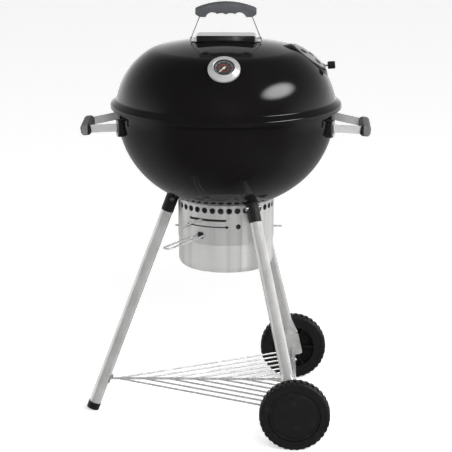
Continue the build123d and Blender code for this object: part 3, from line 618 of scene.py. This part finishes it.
gauge_tilt = 40.0
gauge_out, gauge_up = on_lid(gauge_tilt)
gauge = placed((0, -gauge_out, gauge_up), (1, 0, 0), (0, -sind(gauge_tilt), cosd(gauge_tilt)))
bezel_radius = 39.5
dial_height = 8.5
tick_count = 48
tick_sweep = 270
tick_end = 22.5


def make_bezel():
    """A pressed ring: upright foot, rounded shoulder, sloping face with a fine step, and rolled inner lip."""
    path = [(3.6,), (3.4, 52), (4.2,), (1.0, 38), (0.7,), (1.0, -38), (5.6,), (1.6, 100), (2.4,)]
    bezel = lathe("thermometer_bezel_ring", [sheet((bezel_radius, 2.6), 90, path, 1.2)], 160, gauge)
    finished(bezel, bezel_finish, "lid", "satin_steel", "thermometer_bezel", angle=50)


def dial_bar(form, angle, inner, outer, width, height):
    """One printed mark on the dial, running outward."""
    ahead, across = Vector((cosd(angle), sind(angle), 0)), Vector((-sind(angle), cosd(angle), 0))
    lift = Vector((0, 0, height))
    corners = [ahead * r + across * side * width / 2
               for r, side in ((inner, -1), (outer, -1), (outer, 1), (inner, 1))]
    rings = [[form.verts.new(gauge @ ((corner + lift + Vector((0, 0, z))) * mm)) for corner in corners]
             for z in (0, 0.12)]
    form.faces.new(rings[1])
    form.faces.new(rings[0][::-1])
    for i in range(4):
        j = (i + 1) % 4
        form.faces.new((rings[0][i], rings[0][j], rings[1][j], rings[1][i]))


def make_dial():
    """Generic marks: a scale of ticks round three quarters of the dial, with a coloured zone inside it."""
    face = dial_height + 1.0
    ticks = bmesh.new()
    for i in range(tick_count + 1):
        start, width = (17.5, 0.9) if i % 6 == 0 else (19.5, 0.45)
        dial_bar(ticks, -45 + tick_sweep / tick_count * i, start, tick_end, width, face)
    scale = piece_from("dial_ticks", clean(ticks, bpy.data.meshes.new("dial_ticks")))
    finished(scale, tick_finish, "lid", "needle")
    zone = lathe("dial_zone", [[(9.5, face), (13.5, face), (13.5, face + 0.1), (9.5, face + 0.1)]], 96, gauge)
    finished(zone, zone_finish, "lid", "needle")


make_bezel()
make_dial()


# ---------------------------------------------------------------- ash collar and pot

collar_radius = 121.0
sheet_wall = 1.0
collar_bottom = 470.0
air_hole_radius = 7.5
air_hole_height = 557.0
air_hole_count = 36
lever_height = 533.0
lever_slot_half = 3.0
lever_slot_end = 3.3
latch_height = 492.5
latch_azimuth = -120.0
latch_half = 10.0
latch_window = (15.0, 16.0)
wire_hole = 2.75
pot_gap = 0.6
pot_corner = 20.0
pot_top = 500.0
dot_azimuth = -74.0
dot_height = 517.0
dot_radius = 6.35


def outward(azimuth, height, radius=0.0):
    """A frame whose Z axis points outward from the bowl's axis, with Y up."""
    z_axis = Vector((cosd(azimuth), sind(azimuth), 0))
    return placed(z_axis * radius + Vector((0, 0, height)), Vector((0, 0, 1)).cross(-z_axis) * -1, z_axis)


def make_collar():
    inner = collar_radius - sheet_wall
    tops = [(r, bowl_height(r)) for r in (121, 120, 118, 115, 111, 108)]
    under = [(r, z - sheet_wall) for r, z in tops[1:]][::-1]
    bottom_roll = [(inner, collar_bottom), (collar_radius, collar_bottom)]
    section = bottom_roll + tops + under[:-1] + [(inner, bowl_height(inner) - 1.6)]
    collar = lathe("ash_collar_sheet", [section], 360)
    step = 360 / air_hole_count
    holes = [prism(round_outline(air_hole_radius, 28), 60, 140, outward((i + 0.5) * step, air_hole_height))
             for i in range(air_hole_count)]
    low_side, high_side = lever_height - lever_slot_half, lever_height + lever_slot_half
    band = lathe("cutter", [[(115, low_side), (126, low_side), (126, high_side), (115, high_side)]], 360)
    start = lever_azimuth + lever_open - lever_slot_end
    sweep = lever_shut - lever_open + 2 * lever_slot_end
    angles = [start + sweep * i / 12 for i in range(13)]
    wedge = [(0, 0)] + [(200 * cosd(angle), 200 * sind(angle)) for angle in angles]
    carve(band, prism(wedge, lever_height - 6, lever_height + 6, Matrix.Identity(4)), "INTERSECT")
    latch_place = outward(latch_azimuth, latch_height)
    window = prism(box_outline(latch_window[0] - 2 * wire_hole, latch_window[1]), 100, 135, latch_place)
    ways = [prism(round_outline(wire_hole, 20, side * latch_half), 100, 135, latch_place) for side in (1, -1)]
    ways += [prism(round_outline(wire_hole, 20), 100, 135, outward(azimuth, latch_height))
             for azimuth in (0, 180)]
    carve(collar, joined(holes + [band, window] + ways))
    finished(collar, finishes["satin_steel"], "stand", "satin_steel", "ash_collar", angle=40)


def make_pot():
    """The pot: a drawn can with a rounded corner, notched where the latch wires pass."""
    radius, floor = collar_radius - sheet_wall - pot_gap, low("ash_pot").z
    path = [(radius - pot_corner,), (pot_corner, 90), (pot_top - floor - pot_corner,)]
    pot = lathe("ash_pot_can", [sheet((0, floor), 0, path, sheet_wall)], 300)
    notch = 4 * wire_hole
    cuts = ((latch_azimuth, 2 * latch_half + notch), (0, notch), (180, notch))
    notches = [prism(box_outline(width, 40), 90, 140, outward(azimuth, latch_height + 15))
               for azimuth, width in cuts]
    carve(pot, joined(notches))
    finished(pot, pot_finish, "ash_pot", "satin_steel", "ash_pot", angle=40)


def band_patch(form, start, end, bottom, top, taper=False, steps=40):
    """A thin raised print on the collar between two azimuths; taper narrows it to a point at its end."""
    rows = []
    for i in range(steps + 1):
        azimuth = start + (end - start) * i / steps
        share = 1 - i / steps if taper else 1.0
        middle, half = (bottom + top) / 2, (top - bottom) / 2 * max(share, 0.02)
        rows.append([form.verts.new(Vector((r * cosd(azimuth), r * sind(azimuth), z)) * mm)
                     for r in (collar_radius + 0.02, collar_radius + 0.14)
                     for z in (middle - half, middle + half)])
    for one, two in zip(rows, rows[1:]):
        for a, b in ((0, 1), (1, 3), (3, 2), (2, 0)):
            form.faces.new((one[a], one[b], two[b], two[a]))
    form.faces.new([rows[0][i] for i in (0, 1, 3, 2)])
    form.faces.new([rows[-1][i] for i in (0, 1, 3, 2)])


def make_marks():
    """The lever's printed guide: an arrow along the sweep, and a dot where the vents are open."""
    form = bmesh.new()
    band_patch(form, -141, -89, 514.6, 517.6)
    band_patch(form, -89, -85.0, 511.2, 521.0, taper=True)
    turn = degrees(1 / collar_radius)
    strips = 24
    for i in range(strips):
        left, right = (dot_radius * (2 * k / strips - 1) for k in (i, i + 1))
        half = sqrt(max(dot_radius**2 - ((left + right) / 2) ** 2, 0.01))
        band_patch(form, dot_azimuth + left * turn, dot_azimuth + right * turn, dot_height - half,
                   dot_height + half, steps=1)
    marks = piece_from("lever_marks", clean(form, bpy.data.meshes.new("lever_marks")))
    finished(marks, print_finish, "stand", "black_plastic")


def make_window_shade():
    """A black block in the latch window, which the latch wires pass on their way out of the collar: painted
    shade standing in for the dark opening.
    """
    form = bmesh.new()
    bmesh.ops.create_cube(form, size=1.0)
    bmesh.ops.scale(form, vec=Vector((14.6, 15.5, 4.0)) * mm, verts=form.verts)
    bmesh.ops.bevel(form, geom=form.edges[:], offset=1.2 * mm, segments=3, profile=0.5, affect="EDGES")
    seat = outward(latch_azimuth, latch_height, collar_radius + 1.0)
    bmesh.ops.transform(form, matrix=seat, verts=form.verts)
    # painted shade: a black block where the window's dark opening is
    window_shade = piece_from("latch_window_painted_shade", clean(form, bpy.data.meshes.new("latch_window_painted_shade")))
    finished(window_shade, finishes["black_plastic"], "stand", "black_plastic")


make_collar()
make_pot()
make_marks()
make_window_shade()


# ---------------------------------------------------------------- wheels

hubcap_radius = 64.0


def make_hubcap(side):
    """A shallow dished cover with a ring groove near its edge and a rounded lip."""
    node = f"{side}_hubcap"
    toward = -1 if side == "front" else 1
    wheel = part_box(f"{side}_wheel")
    middle = (wheel[0] + wheel[1]) / 2 / mm
    crown = high(node).y if toward > 0 else -low(node).y
    inner = low(node).y if toward > 0 else -high(node).y
    place = placed((middle.x, 0, middle.z), (1, 0, 0), (0, toward, 0))
    edge = hubcap_radius
    dish = [(0, 0), (20, 0.12), (40, 0.9), (52, 1.55), (edge - 8.8, 1.75)]
    groove = [(edge - 8.3, 2.4), (edge - 7.3, 2.5), (edge - 6.8, 1.9)]
    lip = [(edge - 4, 2.1), (edge - 1.6, 2.4), (edge - 0.4, 3.0), (edge, 3.8)]
    outside = [(radius, crown - drop) for radius, drop in dish + groove + lip]
    inside = [(edge, inner), (50, inner), (50, inner + 2), (0, inner + 2.6)]
    cover = lathe(f"{side}_wheel_cover", [outside + inside], 144, place)
    finished(cover, finishes["wheel_plastic"], f"{side}_wheel", "wheel_plastic", node, angle=50)


make_hubcap("front")
make_hubcap("back")


# ---------------------------------------------------------------- the CAD nodes that stay

own_finishes = dict.fromkeys(("left_leg", "front_wheel_leg", "back_wheel_leg", "axle"), tube_finish)
own_finishes.update(dict.fromkeys(("left_handle_strap", "right_handle_strap"), bar_finish))
own_finishes["lid_heat_shield"] = shield_finish
for row in frame["record"]["subparts"]:
    node = frame["nodes"][row["node"]]
    shaded(node.data)
    dress(node, own_finishes.get(row["node"], finishes[row["material_slot"]]))


# ---------------------------------------------------------------- studio

floor_size = 40.0
camera_distance = 5.556
camera_height = 1.831
camera_azimuth = 1.27
camera_pitch = 13.56
camera_lens = 179.0
softbox_azimuth = -18.5
softbox_elevation = 38.4
softbox_width = 0.40
softbox_height = 0.20
fill_power = 330.0


def make_floor():
    form = bmesh.new()
    bmesh.ops.create_grid(form, x_segments=1, y_segments=1, size=floor_size / 2)
    mesh = bpy.data.meshes.new("floor")
    form.to_mesh(mesh)
    form.free()
    floor = piece_from("floor", mesh)
    floor.location.z = -0.0005
    floor.visible_glossy = False
    made = finish("pale_floor", Base_Color=grey(0.93), Roughness=0.9, Specular_IOR_Level=0.0,
                  Emission_Color=grey(1.0), Emission_Strength=0.50)
    dress(floor, made)


def make_light():
    """A room, white at the sides and behind, dark overhead and in front, with one soft highlight."""
    world = Finish(bpy.data.worlds.new("studio"))
    bpy.context.scene.world = world.owner
    way = world.place("Generated")
    split = world.node("ShaderNodeSeparateXYZ", None, {0: way})
    across, ahead, up = split.out("X"), split.out("Y"), split.out("Z")
    sides = (ahead + across.maths("ABSOLUTE") * 0.6).ramp(-0.12, 0.75)
    lit = sides * (1 - up.maths("MAXIMUM", 0.0)) ** 3.0 + ahead.maths("MAXIMUM", 0.0) * 0.12
    below = 1 - up.ramp(-0.35, -0.02)
    flat, rise = softbox_azimuth, softbox_elevation
    box_across = (-sind(flat), cosd(flat), 0)
    box_up = (-cosd(flat) * sind(rise), -sind(flat) * sind(rise), cosd(rise))
    box_toward = (cosd(flat) * cosd(rise), sind(flat) * cosd(rise), sind(rise))
    along = [world.node("ShaderNodeVectorMath", {"operation": "DOT_PRODUCT"}, {0: way, 1: axis}).out("Value")
             for axis in (box_across, box_up, box_toward)]
    distance = (along[0] / softbox_width) ** 2.0 + (along[1] / softbox_height) ** 2.0
    softbox = (1 - distance).ramp(0.0, 0.9) * along[2].over(0.0)
    level = (0.03 + lit * 0.98) * (1 - below * 0.7) + softbox * 11.0
    background = world.tree.nodes["Background"]
    background.inputs["Color"].default_value = grey(1.0)
    world.feed(background.inputs["Strength"], level)


def make_fill():
    """A big diffuser beside the camera. It lights matt surfaces and puts no glare on glossy ones."""
    lamp = bpy.data.lights.new("fill", "AREA")
    lamp.shape, lamp.size, lamp.size_y, lamp.energy = "RECTANGLE", 4.0, 3.0, fill_power
    fill = bpy.data.objects.new("fill", lamp)
    bpy.context.scene.collection.objects.link(fill)
    fill.location = (0.8, -5.2, 3.2)
    fill.rotation_euler = (Vector((0, 0, 0.6)) - fill.location).to_track_quat("-Z", "Y").to_euler()
    fill.visible_glossy = False


def make_camera():
    camera = bpy.data.objects.new("camera", bpy.data.cameras.new("camera"))
    bpy.context.scene.collection.objects.link(camera)
    across = sind(camera_azimuth) * camera_distance
    camera.location = (across, -cosd(camera_azimuth) * camera_distance, camera_height)
    camera.rotation_euler = (radians(90 - camera_pitch), 0, radians(camera_azimuth))
    camera.data.lens = camera_lens
    camera.data.sensor_width = 36.0
    bpy.context.scene.camera = camera


make_floor()
make_light()
make_fill()
make_camera()
bpy.context.scene.view_settings.view_transform = "Standard"
